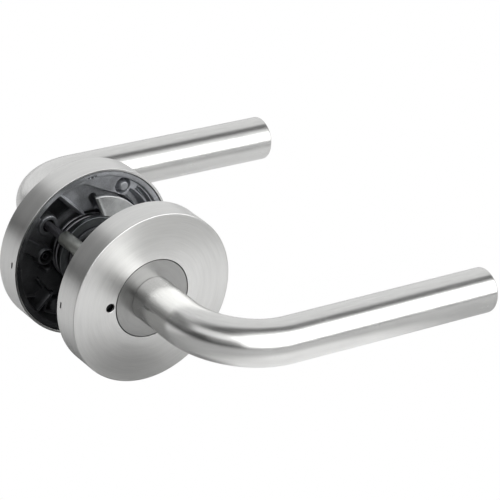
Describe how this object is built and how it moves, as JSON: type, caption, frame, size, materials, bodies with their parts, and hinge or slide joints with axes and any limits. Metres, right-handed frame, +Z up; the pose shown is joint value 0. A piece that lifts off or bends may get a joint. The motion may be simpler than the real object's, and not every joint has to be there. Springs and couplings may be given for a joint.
{
  "type": "door lever handle set",
  "caption": "Two sprung tubular levers on round roses, joined by a square spindle and bolted through a door, with a privacy button and an emergency release hole.",
  "frame": {"origin": "on the spindle axis, midway between the two door faces of the roses", "axes": "+Y from the outer half to the inner half along the spindle, +X along the levers, +Z up"},
  "size_m": [0.148, 0.159, 0.066],
  "materials": {
    "satin_steel": "satin brushed stainless steel",
    "cast_zinc": "as-cast dark zinc alloy",
    "zinc_plate": "zinc plated sheet",
    "spring_steel": "drawn spring steel",
    "bright_zinc": "bright zinc plate",
    "acetal": "natural acetal",
    "black_rubber": "black rubber ring"
  },
  "bodies": {
    "roses": {"outer_rose_cover": "satin_steel", "outer_chassis": "cast_zinc", "outer_bearing_bush": "acetal", "outer_return_spring": "spring_steel", "outer_spring_keeper": "zinc_plate", "outer_keeper_screw_1": "bright_zinc", "outer_keeper_screw_2": "bright_zinc", "inner_rose_cover": "satin_steel", "inner_chassis": "cast_zinc", "inner_bearing_bush": "acetal", "inner_return_spring": "spring_steel", "inner_spring_keeper": "zinc_plate", "inner_keeper_screw_1": "bright_zinc", "inner_keeper_screw_2": "bright_zinc", "bolt_post_upper": "bright_zinc", "bolt_post_lower": "bright_zinc", "through_bolt_upper": "cast_zinc", "through_bolt_lower": "cast_zinc"},
    "outer_lever_train": {"outer_lever": "satin_steel", "outer_lever_cap": "satin_steel", "outer_lever_flange": "satin_steel", "outer_drive_cam": "bright_zinc", "outer_thrust_washer": "spring_steel", "outer_retaining_ring": "spring_steel", "spindle": "bright_zinc"},
    "inner_lever_train": {"inner_lever": "satin_steel", "inner_lever_cap": "satin_steel", "inner_lever_flange": "satin_steel", "inner_drive_cam": "bright_zinc", "inner_thrust_washer": "spring_steel", "inner_retaining_ring": "spring_steel"},
    "button": {"privacy_button": "satin_steel", "button_friction_ring": "black_rubber"}
  },
  "joints": [
    {"name": "outer_lever_turn", "type": "hinge", "parent": "roses", "child": "outer_lever_train", "pos_m": [0, -0.025, 0], "axis": [0, 1, 0], "range_deg": [-45, 45], "stiffness_Nm_per_rad": 0.6, "deforming": ["outer_return_spring"]},
    {"name": "inner_lever_turn", "type": "hinge", "parent": "roses", "child": "inner_lever_train", "pos_m": [0, 0.025, 0], "axis": [0, 1, 0], "range_deg": [-45, 45], "stiffness_Nm_per_rad": 0.6, "deforming": ["inner_return_spring"]},
    {"name": "privacy_button_push", "type": "slide", "parent": "roses", "child": "button", "axis": [0, -1, 0], "range_m": [0, 0.002]}
  ],
  "couplings": [
    {"joint": "inner_lever_turn", "follows": "outer_lever_turn", "ratio": 1}
  ]
}
